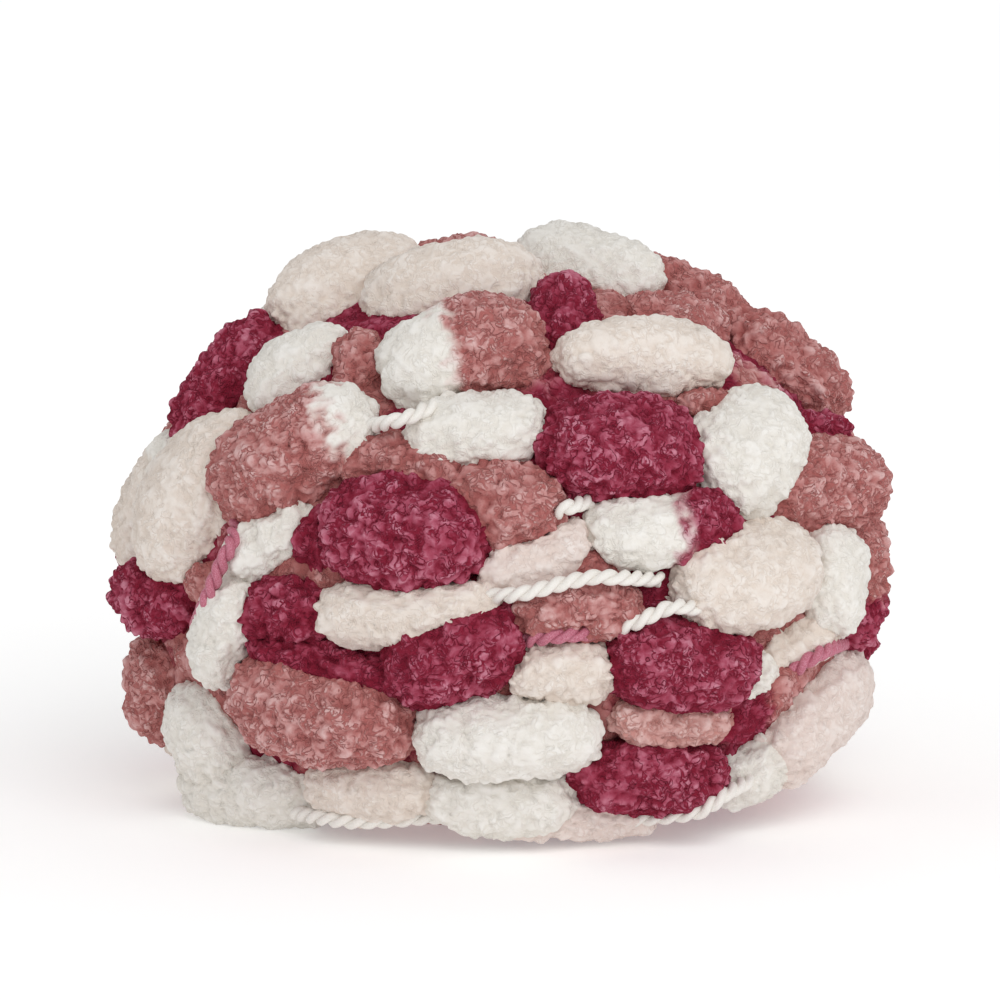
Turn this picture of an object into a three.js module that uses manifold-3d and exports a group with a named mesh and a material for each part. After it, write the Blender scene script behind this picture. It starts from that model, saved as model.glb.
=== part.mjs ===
// A ball of pompom yarn: one strand of plush pompoms on a thin twisted cord, wound round and round itself,
// resting on a small flat spot. Millimetres, +Z up, the front towards -Y, the origin under the middle.
import * as THREE from "three";
import { mergeVertices } from "three/addons/utils/BufferGeometryUtils.js";
import Module from "manifold-3d";

const wasm = await Module();
wasm.setup();

// The wound form: its half width, half depth, height above and below its widest level, and that level.
const BALL = { halfWidth: 95, halfDepth: 84, above: 79, below: 96, widestAt: 57 };
// The packed yarn under the pompoms lies this far inside the form.
const CORE_DEPTH = 11;
// Pompoms on the front are listed as they look from a point in front of the ball: how far it is from the
// middle, how many degrees above level, where it aims, and the listed height of that point.
const VIEW = { distance: 1000, elevation: 8, aimAcross: -1.7, aimHeight: 72, listedHeight: 80.7 };
// A pompom: how square its ends are, how full it is beside its listed girth, its longest real length, how
// softly it meets the next one, and how uneven it is, in lobes along it and round it.
const POMPOM = {
  squareness: 2.5, fullness: 1.06, longest: 46, crease: 0.7, uneven: 0.06, lobesAlong: 3, lobesAround: 2,
};
// The most that a pompom turns away from the viewer for each millimetre that it runs across, and the least
// slant of the form to the look that this is worked out with.
const TURN = { steepest: 0.8, leastSlant: 0.2 };
// The link cord between pompoms: its thickness, the sides of its section, the length of a step, and how
// much deeper its ends go, where they run into pompoms.
const CORD = { thickness: 3.4, sides: 6, step: 6, dip: 6 };
// The skin over the whole ball: how finely it is divided, the search for it along each ray from the middle
// of the ball (a little outside the form, inwards in steps, then halved so many times), and the angle
// within which a pompom can reach a ray.
const SKIN = { detail: 21, outside: 10, step: 1, halvings: 12, nearby: 0.55 };
// Corners nearer than this are one.
const MERGED = 1e-4;
// Shares of a turn by which pompoms that follow one another differ in their lobes.
const GOLDEN = 0.618034;
const FIRST_SHARE = 0.3819;

// The pompoms that show from the front, in millimetres and degrees.
// Columns: across, up, tilt, length, girth, proud (its crown above the form).
const FRONT_POMPOMS = [
  // Crown of the ball
  [-38.5, 129.5, 28, 38, 26, 2],
  [-12.5, 128, 5, 44, 29, 1],
  [20, 133.5, -15, 38, 24, 0],
  [-10.5, 114, 13, 42, 28, 3],
  [13, 120.5, 90, 25, 18, -3],
  [33, 114, 0, 41, 20, 1],
  [43, 127.5, -27, 35, 17, -2],
  [66.5, 111.5, -38, 33, 21, 0],
  [62.5, 117.5, -30, 18, 11, -4],
  // Upper left
  [-65, 107.5, 50, 38, 22, 0],
  [-49, 110.5, 40, 29, 20, -2],
  [-35.5, 111.5, 90, 17, 13, -5],
  [-79.5, 80.5, 60, 40, 25, -2],
  [-70.5, 80, 58, 44, 31, 1],
  [-50, 90.5, 28, 43, 29, 3],
  [-56, 72, 45, 27, 16, -4],
  [-45, 71, 80, 16, 13, -6],
  // Middle
  [-24, 72.5, -4, 41, 27, 3],
  [-24.5, 88, -3, 34, 16, -4],
  [-0.5, 79, -12, 30, 23, -1],
  [-7.5, 96, 10, 36, 20, -1],
  [26.5, 91.5, -4, 40, 28, 3],
  [55.5, 91.5, 45, 28, 28, 2],
  [48, 103, 0, 14, 10, -5],
  [37, 73.5, 5, 37, 20, -1],
  [7, 66, 25, 31, 16, -4],
  [20, 65, 10, 16, 12, -6],
  [-23.5, 54, 2, 45, 17, -2],
  [17, 54, 8, 31, 15, -2],
  [-12.5, 44, 18, 36, 23, 1],
  // Right side
  [74, 96, 0, 15, 12, -4],
  [73, 83, 12, 34, 22, 0],
  [56, 62, 10, 34, 27, 2],
  [77, 61, 90, 28, 19, 0],
  [70, 46, 20, 20, 12, -4],
  [83, 61, 90, 31, 17, -1],
  [71, 29, 46, 40, 24, 0],
  [59.5, 33, 35, 28, 12, -3],
  [42, 42, -2, 36, 22, 2],
  [59, 38, 30, 12, 10, -4],
  [40.5, 28, 0, 30, 13, -3],
  [34, 15, 3, 37, 20, 1],
  [60, 18, 30, 26, 17, -2],
  // Left side
  [-81, 57.5, 0, 24, 18, -1],
  [-82, 36, 90, 23, 19, 0],
  [-67.5, 49, 68, 25, 16, -1],
  [-68, 60, 0, 14, 12, -6],
  [-52, 54, 0, 22, 18, -4],
  [-41, 40, -15, 43, 16, -4],
  // Foot of the ball
  [13, 40, 0, 27, 17, -2],
  [0, 24, 0, 45, 21, 2],
  [-1.5, 9, 0, 38, 17, -1],
  [16, 5, 0, 42, 12, -3],
  [-44, 30.5, -12, 44, 26, 3],
  [-66.5, 21.5, -60, 37, 27, 1],
  [-60, 12.5, -5, 34, 21, 0],
  [-32, 12, 0, 32, 17, -2],
];
// The back is wound as the front is, half a turn on and so much narrower. Rows on the front's outline, which
// lie further across or up than this, are left out there.
const BACK = { narrowing: 0.91, across: 78, up: 125 };
// Pompoms on the sides, over the top and low at the back, where neither list reaches. Around is in degrees
// about the ball, from the front past the right; up is the level of the crown above the floor.
// Columns: around, up, tilt, length, girth, proud.
const REST_POMPOMS = [
  // Right side
  [97, 82, 35, 38, 26, -4],
  [106, 57, -15, 40, 26, -1],
  [95, 40, 75, 34, 22, -4],
  [121, 37, 20, 36, 24, -1],
  [122, 74, 60, 36, 24, -2],
  [100, 19, 10, 34, 20, -2],
  // Left side
  [256, 88, -30, 38, 26, -4],
  [262, 60, 65, 38, 25, 0],
  [249, 38, -15, 38, 25, -1],
  [262, 13, 5, 38, 23, -1],
  // Over the top
  [215, 132, -20, 42, 27, 0],
  [125, 129, 40, 40, 26, -1],
  [155, 120, -10, 40, 27, 1],
  [180, 127, 5, 36, 24, -1],
  [72, 126, -30, 34, 22, -5],
  [262, 125, -40, 38, 25, -2],
  [236, 115, 20, 38, 25, 0],
  // Foot of the back
  [118, 18, -15, 38, 22, -1],
  [242, 15, 15, 38, 24, 0],
];
// Stretches of the link cord that show on the front: how proud each lies, and its points across and up.
const LINK_CORDS = [
  { proud: 2, points: [[-33, 98.5], [-28, 99.5], [-23, 101], [-14, 105]] },
  { proud: -1, points: [[10, 77], [15, 79], [20, 80.5]] },
  { proud: 0, points: [[-6, 57.5], [3, 58], [13, 60.5], [20, 62], [27, 62], [37, 61.5]] },
  { proud: 0, points: [[24, 48.5], [32, 51.5], [37, 54], [42, 55], [50, 53.5]] },
  { proud: -2, points: [[64, 35], [71, 41], [78, 45], [83, 47]] },
  { proud: 2, points: [[29, 3.5], [46, 5.5], [52, 9.5], [62, 15]] },
  { proud: -1, points: [[-65, 76], [-66.5, 70], [-69, 65], [-73, 55], [-75, 50]] },
  { proud: -1, points: [[-56, 7], [-47, 4.5], [-35, 3.2], [-16, 4.5]] },
  { proud: -2, points: [[2, 46.5], [9, 47.5], [16, 48.3], [24, 49]] },
];

// The heart of the ball, and the view that the front's list is made from.
const HEART = new THREE.Vector3(0, 0, BALL.widestAt);
const RIGHT = new THREE.Vector3(1, 0, 0);
const UP = new THREE.Vector3(0, 0, 1);
const elevation = THREE.MathUtils.degToRad(VIEW.elevation);
const forward = new THREE.Vector3(0, Math.cos(elevation), -Math.sin(elevation));
const pictureUp = new THREE.Vector3(0, Math.sin(elevation), Math.cos(elevation));
const aim = new THREE.Vector3(VIEW.aimAcross, 0, VIEW.aimHeight);
const eye = aim.clone().addScaledVector(forward, -VIEW.distance);

/** A share from 0 to 1 for pompom `index`, spread evenly by the golden ratio. */
function share(index) {
  return (index * GOLDEN + FIRST_SHARE) % 1;
}

/** Half sizes of the form `depth` inside the outer one, for the half that `isUpper` names. */
function formSizes(depth, isUpper) {
  const height = isUpper ? BALL.above : BALL.below;
  return new THREE.Vector3(BALL.halfWidth - depth, BALL.halfDepth - depth, height - depth);
}

/** Outward direction of the form, `depth` inside, at `point`. */
function outwardAt(point, depth) {
  const sizes = formSizes(depth, point.z >= BALL.widestAt);
  const local = point.clone().setZ(point.z - BALL.widestAt);
  return local.divide(sizes).divide(sizes).normalize();
}

/** Where the look through (across, up) meets the form `depth` inside, on the side of the viewer. */
function seatOnForm(across, up, depth) {
  const target = aim.clone().setX(across).addScaledVector(pictureUp, up - VIEW.listedHeight);
  const look = target.sub(eye).normalize();
  let best = null;
  for (const isUpper of [true, false]) {
    const sizes = formSizes(depth, isUpper);
    const start = eye.clone().setZ(eye.z - BALL.widestAt).divide(sizes);
    const run = look.clone().divide(sizes);
    const square = run.lengthSq();
    const half = start.dot(run);
    const inside = half * half - square * (start.lengthSq() - 1);
    const reach = (-half - Math.sqrt(Math.max(inside, 0))) / square;
    const point = eye.clone().addScaledVector(look, reach);
    if (best === null || point.z >= BALL.widestAt === isUpper) best = point;
  }
  return { point: best, look, nearness: eye.distanceTo(best) / VIEW.distance };
}

/** A closed solid of `geometry`, which is given up. */
function solidOf(geometry) {
  geometry.deleteAttribute("normal");
  geometry.deleteAttribute("uv");
  const merged = mergeVertices(geometry, MERGED);
  const mesh = new wasm.Mesh({
    numProp: 3,
    vertProperties: new Float32Array(merged.attributes.position.array),
    triVerts: new Uint32Array(merged.index.array),
  });
  return new wasm.Manifold(mesh);
}

/** A plump pompom lying along `axis` at `centre`, its crown towards `outward`. */
function pompomAt(centre, axis, outward, length, girth, index) {
  const side = new THREE.Vector3().crossVectors(axis, outward).normalize();
  const crown = new THREE.Vector3().crossVectors(side, axis).normalize();
  const placed = new THREE.Matrix4().makeBasis(side, axis, crown).setPosition(centre);
  const half = girth / 2 * POMPOM.fullness;
  placed.scale(new THREE.Vector3(half, length / 2, half));
  const heading = centre.clone().sub(HEART).normalize();
  return { toLocal: placed.invert(), half, heading, phase: 2 * Math.PI * share(index) };
}

/** How far `point` is outside `pompom`, in millimetres, or less than nothing inside it. */
function gapTo(pompom, point) {
  const { x, y, z } = point.clone().applyMatrix4(pompom.toLocal);
  const turn = POMPOM.lobesAlong * y + POMPOM.lobesAround * Math.atan2(x, z);
  const lobe = Math.sin(turn + pompom.phase);
  const across = Math.hypot(x, z) / (1 + POMPOM.uneven * lobe);
  const power = POMPOM.squareness;
  return ((across ** power + Math.abs(y) ** power) ** (1 / power) - 1) * pompom.half;
}

/** The front's pompom `index` of the table, or the same one half a turn on at the back. */
function listedPompom(row, index, isBack) {
  const [across, up, tilt, length, girth, proud] = row;
  const depth = girth / 2 - proud;
  const { point, look, nearness } = seatOnForm(isBack ? across * BACK.narrowing : across, up, depth);
  const outward = outwardAt(point, depth);
  const angle = THREE.MathUtils.degToRad(tilt);
  const run = RIGHT.clone().multiplyScalar(Math.cos(angle)).addScaledVector(pictureUp, Math.sin(angle));
  const turn = -run.dot(outward) / Math.min(look.dot(outward), -TURN.leastSlant);
  const axis = run.addScaledVector(look, THREE.MathUtils.clamp(turn, -TURN.steepest, TURN.steepest));
  const realLength = Math.min(length * nearness * axis.length(), POMPOM.longest);
  axis.normalize();
  if (isBack) {
    for (const vector of [point, outward, axis]) vector.set(-vector.x, -vector.y, vector.z);
  }
  return pompomAt(point, axis, outward, realLength, girth * nearness, index);
}

/** Pompom `index` of the rest, where its row says round the ball. */
function restPompom([around, up, tilt, length, girth, proud], index) {
  const heading = THREE.MathUtils.degToRad(around);
  const slope = (up - BALL.widestAt) / (up >= BALL.widestAt ? BALL.above : BALL.below);
  const level = Math.sqrt(1 - slope ** 2);
  const crown = new THREE.Vector3(
    BALL.halfWidth * level * Math.sin(heading), -BALL.halfDepth * level * Math.cos(heading), up,
  );
  const outward = outwardAt(crown, 0);
  const centre = crown.addScaledVector(outward, proud - girth / 2);
  const levelRun = new THREE.Vector3().crossVectors(UP, outward).normalize();
  const climb = new THREE.Vector3().crossVectors(outward, levelRun);
  const angle = THREE.MathUtils.degToRad(tilt);
  const axis = levelRun.multiplyScalar(Math.cos(angle)).addScaledVector(climb, Math.sin(angle));
  return pompomAt(centre, axis, outward, length, girth, index);
}

/** How far `point` is outside the wound yarn, with its pompoms softly joined at their creases. */
function gapToYarn(point, pompoms) {
  const core = formSizes(CORE_DEPTH, point.z >= BALL.widestAt);
  const fromHeart = point.clone().sub(HEART).divide(core).length();
  let joined = Math.exp(-(fromHeart - 1) * core.x / POMPOM.crease);
  for (const pompom of pompoms) joined += Math.exp(-gapTo(pompom, point) / POMPOM.crease);
  return -POMPOM.crease * Math.log(joined);
}

/** How far the yarn reaches from the heart of the ball along `direction`. */
function reachAlong(direction, pompoms) {
  const near = pompoms.filter((pompom) => pompom.heading.angleTo(direction) < SKIN.nearby);
  const at = (reach) => HEART.clone().addScaledVector(direction, reach);
  let outside = BALL.halfWidth + SKIN.outside;
  while (gapToYarn(at(outside - SKIN.step), near) > 0) outside -= SKIN.step;
  let inside = outside - SKIN.step;
  for (let i = 0; i < SKIN.halvings; i += 1) {
    const middle = (outside + inside) / 2;
    if (gapToYarn(at(middle), near) > 0) outside = middle;
    else inside = middle;
  }
  return inside;
}

/** The wound ball: a skin pulled onto the pompoms from the heart outwards, and flat where it rests. */
function woundBallSolid(pompoms) {
  const geometry = new THREE.IcosahedronGeometry(1, SKIN.detail);
  geometry.deleteAttribute("normal");
  geometry.deleteAttribute("uv");
  const skin = mergeVertices(geometry, MERGED);
  const places = skin.attributes.position;
  const direction = new THREE.Vector3();
  for (let i = 0; i < places.count; i += 1) {
    direction.fromBufferAttribute(places, i).normalize();
    const reach = reachAlong(direction, pompoms);
    const floorReach = direction.z < 0 ? -HEART.z / direction.z : Infinity;
    const point = HEART.clone().addScaledVector(direction, Math.min(reach, floorReach));
    if (floorReach <= reach) point.z = 0;
    places.setXYZ(i, point.x, point.y, point.z);
  }
  return solidOf(skin);
}

/** A stretch of link cord: a tube along its points, whose ends run into pompoms. */
function linkCordSolid({ proud, points }) {
  const places = points.map(([across, up], index) => {
    const isEnd = index === 0 || index === points.length - 1;
    const { point } = seatOnForm(across, up, CORD.thickness / 2 - proud + (isEnd ? CORD.dip : 0));
    return point.setZ(Math.max(point.z, CORD.thickness));
  });
  const curve = new THREE.CatmullRomCurve3(places);
  const section = new THREE.Shape().absarc(0, 0, CORD.thickness / 2, 0, 2 * Math.PI);
  const steps = Math.round(curve.getLength() / CORD.step);
  const options = { steps, curveSegments: CORD.sides, extrudePath: curve };
  return solidOf(new THREE.ExtrudeGeometry(section, options));
}

const pompoms = [];
FRONT_POMPOMS.forEach((row, index) => {
  pompoms.push(listedPompom(row, index, false));
  const [across, up] = row;
  const isOnBack = Math.abs(across) <= BACK.across && up <= BACK.up;
  if (isOnBack) pompoms.push(listedPompom(row, index + FRONT_POMPOMS.length, true));
});
REST_POMPOMS.forEach((row, index) => pompoms.push(restPompom(row, index)));
const cords = LINK_CORDS.map(linkCordSolid);
const wound = cords.reduce((whole, cord) => whole.add(cord), woundBallSolid(pompoms));

const surface = wound.getMesh();
const geometry = new THREE.BufferGeometry();
geometry.setAttribute("position", new THREE.BufferAttribute(surface.vertProperties, 3));
geometry.setIndex(new THREE.BufferAttribute(surface.triVerts, 1));
geometry.computeVertexNormals();

const plush = new THREE.MeshStandardMaterial({ color: 0xcdb4ac, roughness: 0.95, metalness: 0 });
const yarnBall = new THREE.Mesh(geometry, plush);
yarnBall.name = "yarn_ball";

const model = new THREE.Group();
model.add(yarnBall);
export default model;
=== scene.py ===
"""Dresses a wound ball of pompom yarn: plush pompoms on a thin twisted cord, dyed from white to raspberry.

The ball's solid comes from the frame. Here each pompom gets its crinkled pile, in the dye that its stretch
of the strand has, and the link cord gets its two plies. The lists of pompoms and of cord stretches are the
ones that the solid is made from, in millimetres, with the dyes added.
"""

import itertools
import logging
import math
from dataclasses import dataclass, field
from enum import Enum
from typing import NamedTuple

import bmesh
import bpy
import numpy as np
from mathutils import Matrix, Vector, noise


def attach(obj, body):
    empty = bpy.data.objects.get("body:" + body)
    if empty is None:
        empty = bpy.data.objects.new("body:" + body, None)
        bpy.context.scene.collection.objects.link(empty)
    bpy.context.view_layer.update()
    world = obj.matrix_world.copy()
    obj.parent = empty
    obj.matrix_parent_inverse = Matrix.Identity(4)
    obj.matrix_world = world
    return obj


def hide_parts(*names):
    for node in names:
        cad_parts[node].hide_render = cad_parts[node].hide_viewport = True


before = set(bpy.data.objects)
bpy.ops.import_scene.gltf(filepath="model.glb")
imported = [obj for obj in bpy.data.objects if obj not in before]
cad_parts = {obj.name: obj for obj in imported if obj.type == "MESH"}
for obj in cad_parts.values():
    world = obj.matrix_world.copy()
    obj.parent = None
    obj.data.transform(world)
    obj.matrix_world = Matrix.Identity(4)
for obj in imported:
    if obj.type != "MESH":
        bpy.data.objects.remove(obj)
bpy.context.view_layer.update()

log = logging.getLogger("pompom_yarn")

MM = 0.001
BODY = "root"
NODE = "yarn_ball"
SEED = 20240
# Shares of a turn by which pompoms that follow one another differ in their lobes.
GOLDEN = 0.618034
FIRST_SHARE = 0.3819
# The most that a pompom turns away from the viewer for each millimetre that it runs across, the least slant
# of the form to the look that this is worked out with, and the longest real pompom.
STEEPEST_TURN = 0.8
LEAST_SLANT = 0.2
LONGEST_POMPOM = 46
# The least radius that anything is divided by.
TINY = 1e-6


def linear(hex_colour: str) -> tuple[float, float, float]:
    """Turns an sRGB hex colour into linear red, green and blue.

    Args:
        hex_colour: Six hex digits, such as "f2efe8".

    Returns:
        The linear colour, each part from 0 to 1.
    """
    parts = [int(hex_colour[i:i + 2], 16) / 255 for i in (0, 2, 4)]
    return tuple(p / 12.92 if p <= 0.04045 else ((p + 0.055) / 1.055) ** 2.4 for p in parts)


class Dye(Enum):
    """The dyes of the strand, in the order in which they follow one another along it."""

    WHITE = "white"
    CREAM = "cream"
    BLUSH = "pale pink"
    TAN = "beige rose"
    ROSE = "rose"
    RASPBERRY = "raspberry"


@dataclass(frozen=True)
class DyeLook:
    """How a dye looks on the pile: the colour of its tips, how high its curls stand beside those of the
    darkest dye, and how much the light that scatters in the pile evens out their shading."""

    tip: str
    relief: float
    evenness: float


LOOKS = {
    Dye.WHITE: DyeLook(tip="f1eee9", relief=0.45, evenness=0.6),
    Dye.CREAM: DyeLook(tip="efe7e0", relief=0.45, evenness=0.6),
    Dye.BLUSH: DyeLook(tip="efe5e0", relief=0.45, evenness=0.6),
    Dye.TAN: DyeLook(tip="e3c4c0", relief=0.9, evenness=0.2),
    Dye.ROSE: DyeLook(tip="dbb4b2", relief=1.0, evenness=0.15),
    Dye.RASPBERRY: DyeLook(tip="c88294", relief=1.0, evenness=0.15),
}
# Half a turn round the ball the strand has another dye.
DYE_AT_BACK = {
    Dye.WHITE: Dye.ROSE,
    Dye.CREAM: Dye.WHITE,
    Dye.BLUSH: Dye.RASPBERRY,
    Dye.TAN: Dye.CREAM,
    Dye.ROSE: Dye.WHITE,
    Dye.RASPBERRY: Dye.CREAM,
}


class ListedPompom(NamedTuple):
    """A row of the front's list: as it looks from the front, in millimetres and degrees."""

    across: float
    up: float
    tilt: float
    length: float
    girth: float
    proud: float
    dye: Dye
    second: Dye | None = None
    change: float = 1.0


class RestPompom(NamedTuple):
    """A row of the rest's list: degrees round the ball from the front, and the crown's level."""

    around: float
    up: float
    tilt: float
    length: float
    girth: float
    proud: float
    dye: Dye
    second: Dye | None = None
    change: float = 1.0


W, C, B, T, R, P = Dye.WHITE, Dye.CREAM, Dye.BLUSH, Dye.TAN, Dye.ROSE, Dye.RASPBERRY

# Columns: across, up, tilt, length, girth, proud, dye at the left end, second dye, where it changes.
FRONT_POMPOMS = [ListedPompom(*row) for row in (
    # Crown of the ball
    (-38.5, 129.5, 28, 38, 26, 2, C),
    (-12.5, 128, 5, 44, 29, 1, C),
    (20, 133.5, -15, 38, 24, 0, W),
    (-10.5, 114, 13, 42, 28, 3, W, R, 0.42),
    (13, 120.5, 90, 25, 18, -3, P),
    (33, 114, 0, 41, 20, 1, C),
    (43, 127.5, -27, 35, 17, -2, R),
    (66.5, 111.5, -38, 33, 21, 0, R),
    (62.5, 117.5, -30, 18, 11, -4, R),
    # Upper left
    (-65, 107.5, 50, 38, 22, 0, P),
    (-49, 110.5, 40, 29, 20, -2, W),
    (-35.5, 111.5, 90, 17, 13, -5, R),
    (-79.5, 80.5, 60, 40, 25, -2, C, W, 0.75),
    (-70.5, 80, 58, 44, 31, 1, C),
    (-50, 90.5, 28, 43, 29, 3, R, W, 0.82),
    (-56, 72, 45, 27, 16, -4, W),
    (-45, 71, 80, 16, 13, -6, P),
    # Middle
    (-24, 72.5, -4, 41, 27, 3, P),
    (-24.5, 88, -3, 34, 16, -4, R),
    (-0.5, 79, -12, 30, 23, -1, R),
    (-7.5, 96, 10, 36, 20, -1, W),
    (26.5, 91.5, -4, 40, 28, 3, P),
    (55.5, 91.5, 45, 28, 28, 2, W),
    (48, 103, 0, 14, 10, -5, R),
    (37, 73.5, 5, 37, 20, -1, W, P, 0.55),
    (7, 66, 25, 31, 16, -4, B),
    (20, 65, 10, 16, 12, -6, R),
    (-23.5, 54, 2, 45, 17, -2, C),
    (17, 54, 8, 31, 15, -2, R),
    (-12.5, 44, 18, 36, 23, 1, P),
    # Right side
    (74, 96, 0, 15, 12, -4, P),
    (73, 83, 12, 34, 22, 0, R),
    (56, 62, 10, 34, 27, 2, C),
    (77, 61, 90, 28, 19, 0, W),
    (70, 46, 20, 20, 12, -4, C),
    (83, 61, 90, 31, 17, -1, P, R, 0.4),
    (71, 29, 46, 40, 24, 0, B),
    (59.5, 33, 35, 28, 12, -3, P, R, 0.5),
    (42, 42, -2, 36, 22, 2, P),
    (59, 38, 30, 12, 10, -4, W),
    (40.5, 28, 0, 30, 13, -3, T),
    (34, 15, 3, 37, 20, 1, P),
    (60, 18, 30, 26, 17, -2, W),
    # Left side
    (-81, 57.5, 0, 24, 18, -1, P),
    (-82, 36, 90, 23, 19, 0, R),
    (-67.5, 49, 68, 25, 16, -1, W),
    (-68, 60, 0, 14, 12, -6, R),
    (-52, 54, 0, 22, 18, -4, P),
    (-41, 40, -15, 43, 16, -4, P),
    # Foot of the ball
    (13, 40, 0, 27, 17, -2, C),
    (0, 24, 0, 45, 21, 2, W),
    (-1.5, 9, 0, 38, 17, -1, W),
    (16, 5, 0, 42, 12, -3, B),
    (-44, 30.5, -12, 44, 26, 3, R),
    (-66.5, 21.5, -60, 37, 27, 1, W),
    (-60, 12.5, -5, 34, 21, 0, W),
    (-32, 12, 0, 32, 17, -2, C),
)]
# Columns: around, up, tilt, length, girth, proud, dye, second dye, where it changes.
REST_POMPOMS = [RestPompom(*row) for row in (
    # Right side
    (97, 82, 35, 38, 26, -4, R),
    (106, 57, -15, 40, 26, -1, R),
    (95, 40, 75, 34, 22, -4, P),
    (121, 37, 20, 36, 24, -1, C),
    (122, 74, 60, 36, 24, -2, P),
    (100, 19, 10, 34, 20, -2, C),
    # Left side
    (256, 88, -30, 38, 26, -4, W, R, 0.5),
    (262, 60, 65, 38, 25, 0, P),
    (249, 38, -15, 38, 25, -1, R),
    (262, 13, 5, 38, 23, -1, C),
    # Over the top
    (215, 132, -20, 42, 27, 0, R),
    (125, 129, 40, 40, 26, -1, P, R, 0.5),
    (155, 120, -10, 40, 27, 1, W),
    (180, 127, 5, 36, 24, -1, B),
    (72, 126, -30, 34, 22, -5, R),
    (262, 125, -40, 38, 25, -2, R),
    (236, 115, 20, 38, 25, 0, P),
    # Foot of the back
    (118, 18, -15, 38, 22, -1, W),
    (242, 15, 15, 38, 24, 0, R),
)]
# The back is wound as the front is, half a turn on and so much narrower, without the rows on the front's
# outline, which lie further across or up than this.
BACK_NARROWING = 0.91
BACK_ACROSS = 78
BACK_UP = 125


@dataclass(frozen=True)
class Viewpoint:
    """The point that the front's list is made from, and the camera's too, in millimetres.

    `listed_height` is the list's height at the aim.
    """

    distance: float = 1000
    elevation: float = math.radians(8)
    aim_across: float = -1.7
    aim_height: float = 72
    listed_height: float = 80.7
    picture_width: float = 241

    @property
    def forward(self) -> Vector:
        """The direction in which the viewer looks."""
        return Vector((0, math.cos(self.elevation), -math.sin(self.elevation)))

    @property
    def up(self) -> Vector:
        """Up in the picture."""
        return Vector((0, math.sin(self.elevation), math.cos(self.elevation)))

    @property
    def aim(self) -> Vector:
        """The point at the middle of the picture."""
        return Vector((self.aim_across, 0, self.aim_height))

    @property
    def eye(self) -> Vector:
        """Where the viewer stands."""
        return self.aim - self.forward * self.distance

    def look_through(self, across: float, up: float) -> Vector:
        """The direction from the eye through a listed place."""
        target = self.aim + self.up * (up - self.listed_height)
        target.x = across
        return (target - self.eye).normalized()


@dataclass(frozen=True)
class BallForm:
    """The wound form: two half ellipsoids that meet at its widest level, in millimetres."""

    half_width: float = 95
    half_depth: float = 84
    above: float = 79
    below: float = 96
    widest_at: float = 57

    @property
    def heart(self) -> Vector:
        """The middle of the ball."""
        return Vector((0, 0, self.widest_at))

    def sizes(self, depth: float, is_upper: bool) -> Vector:
        """Half sizes of the form that lies `depth` inside, for its upper or lower half."""
        height = self.above if is_upper else self.below
        return Vector((self.half_width - depth, self.half_depth - depth, height - depth))

    def outward(self, point: Vector, depth: float) -> Vector:
        """The outward direction at a point of the form that lies `depth` inside."""
        sizes = self.sizes(depth, point.z >= self.widest_at)
        local = point - self.heart
        return Vector([local[i] / sizes[i] ** 2 for i in range(3)]).normalized()

    def seat(self, viewpoint: Viewpoint, look: Vector, depth: float) -> Vector:
        """Where a look meets the form that lies `depth` inside, on the viewer's side.

        Args:
            viewpoint: The viewer.
            look: The direction of the look.
            depth: How far inside the outer form, in millimetres.

        Returns:
            The point, or the nearest pass where the look misses.
        """
        best = None
        for is_upper in (True, False):
            sizes = self.sizes(depth, is_upper)
            start = Vector([a / s for a, s in zip(viewpoint.eye - self.heart, sizes)])
            run = Vector([a / s for a, s in zip(look, sizes)])
            square = run.length_squared
            half = start.dot(run)
            inside = half * half - square * (start.length_squared - 1)
            reach = (-half - math.sqrt(max(inside, 0))) / square
            point = viewpoint.eye + look * reach
            if best is None or (point.z >= self.widest_at) == is_upper:
                best = point
        return best


VIEWPOINT = Viewpoint()
FORM = BallForm()


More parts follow.
